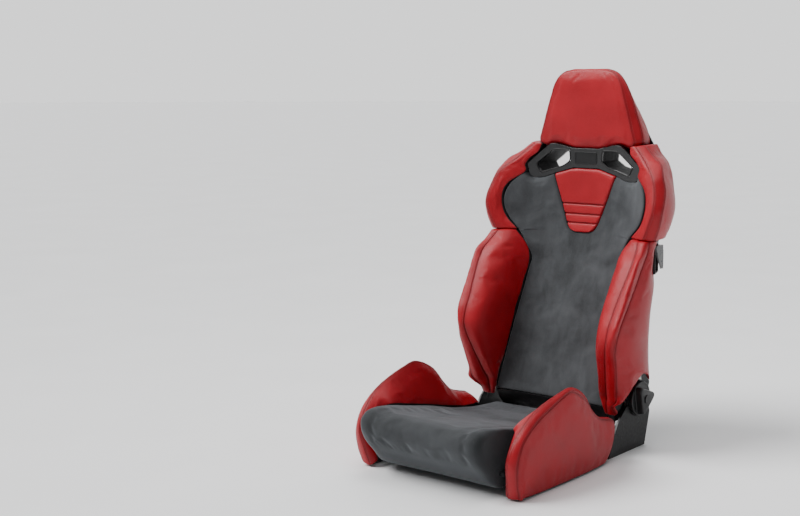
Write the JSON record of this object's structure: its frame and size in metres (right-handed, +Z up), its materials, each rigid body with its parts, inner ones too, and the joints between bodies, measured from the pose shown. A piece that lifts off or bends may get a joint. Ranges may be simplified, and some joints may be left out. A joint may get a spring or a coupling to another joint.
{
  "type": "racing seat",
  "caption": "Reclining sport seat with deep bolsters, suede middle, harness slots in the backrest, fold-forward levers and recline dials.",
  "frame": {"origin": "centre of the four floor bolts, on the plane the seat stands on", "axes": "+X to the occupant's left, the seat faces -Y, +Z up"},
  "size_m": [0.6, 0.82, 1.02],
  "materials": {
    "red_leather": "fine-grained red leather over foam",
    "grey_suede": "dark grey brushed suede cloth over foam",
    "black_steel": "black powder coat",
    "zinc_steel": "zinc plated",
    "spring_wire": "oiled spring steel",
    "satin_plastic": "fine-textured black moulding",
    "gloss_plastic": "satin black moulding",
    "dial_plastic": "black grained moulding"
  },
  "bodies": {
    "seat_base": {"side_member_left": "black_steel", "side_member_right": "black_steel", "front_cross_tube": "black_steel", "rear_cross_tube": "black_steel", "mount_nuts": "zinc_steel", "bracket_bolts": "zinc_steel", "cushion_pan": "black_steel", "cushion_springs": "spring_wire", "seat_insert": "grey_suede", "cushion_bolster_left": "red_leather", "cushion_bolster_right": "red_leather", "side_bracket_left": "black_steel", "side_bracket_right": "black_steel", "recliner_gear_left": "zinc_steel", "recliner_gear_right": "zinc_steel"},
    "recline_drive": {"recline_shaft": "zinc_steel", "recline_dial_left": "dial_plastic", "recline_dial_right": "dial_plastic", "dial_caps": "dial_plastic"},
    "recliner_arms": {"recliner_arm_left": "zinc_steel", "recliner_arm_right": "zinc_steel", "arm_torque_tube": "zinc_steel"},
    "backrest": {"shoulder_bolster_left": "red_leather", "shoulder_bolster_right": "red_leather", "lateral_bolster_left": "red_leather", "lateral_bolster_right": "red_leather", "head_pad": "red_leather", "neck_pad": "red_leather", "back_insert": "grey_suede", "back_frame_tube_left": "black_steel", "back_frame_tube_right": "black_steel", "lower_cross_tube": "black_steel", "upper_cross_tube": "black_steel", "head_hoop": "black_steel", "back_side_plate_left": "black_steel", "back_side_plate_right": "black_steel", "back_plate_screws": "zinc_steel", "lever_pin_left": "zinc_steel", "lever_pin_right": "zinc_steel", "tilt_latch_left": "zinc_steel", "tilt_latch_right": "zinc_steel", "back_springs": "spring_wire", "back_valance": "satin_plastic", "back_panel_lower": "satin_plastic", "back_panel_middle": "satin_plastic", "back_panel_upper": "satin_plastic", "lever_bezel_left": "satin_plastic", "lever_bezel_right": "satin_plastic", "harness_tunnel_left": "satin_plastic", "harness_tunnel_right": "satin_plastic", "front_bezel": "gloss_plastic", "rear_bezel": "gloss_plastic"},
    "release_lever_left": {"release_lever_left": "satin_plastic"},
    "release_lever_right": {"release_lever_right": "satin_plastic"}
  },
  "joints": [
    {"name": "recline", "type": "hinge", "parent": "seat_base", "child": "recliner_arms", "pos_m": [0, 0.2, 0.138], "axis": [1, 0, 0], "range_deg": [-52, 2]},
    {"name": "dial_turn", "type": "hinge", "parent": "seat_base", "child": "recline_drive", "pos_m": [0, 0.2, 0.138], "axis": [1, 0, 0], "range_deg": [-1720, 70]},
    {"name": "fold_forward", "type": "hinge", "parent": "recliner_arms", "child": "backrest", "pos_m": [0, 0.2, 0.138], "axis": [1, 0, 0], "range_deg": [0, 20]},
    {"name": "release_lever_left_pull", "type": "hinge", "parent": "backrest", "child": "release_lever_left", "pos_m": [0.24244, 0.27123, 0.544], "axis": [0.3778, -0.9259, 0], "range_deg": [0, 22], "stiffness_Nm_per_rad": 0.35, "springref_deg": -20.05},
    {"name": "release_lever_right_pull", "type": "hinge", "parent": "backrest", "child": "release_lever_right", "pos_m": [-0.24244, 0.27123, 0.544], "axis": [0.3778, 0.9259, 0], "range_deg": [0, 22], "stiffness_Nm_per_rad": 0.35, "springref_deg": -20.05}
  ],
  "couplings": [
    {"joint": "dial_turn", "follows": "recline", "ratio": 33}
  ]
}
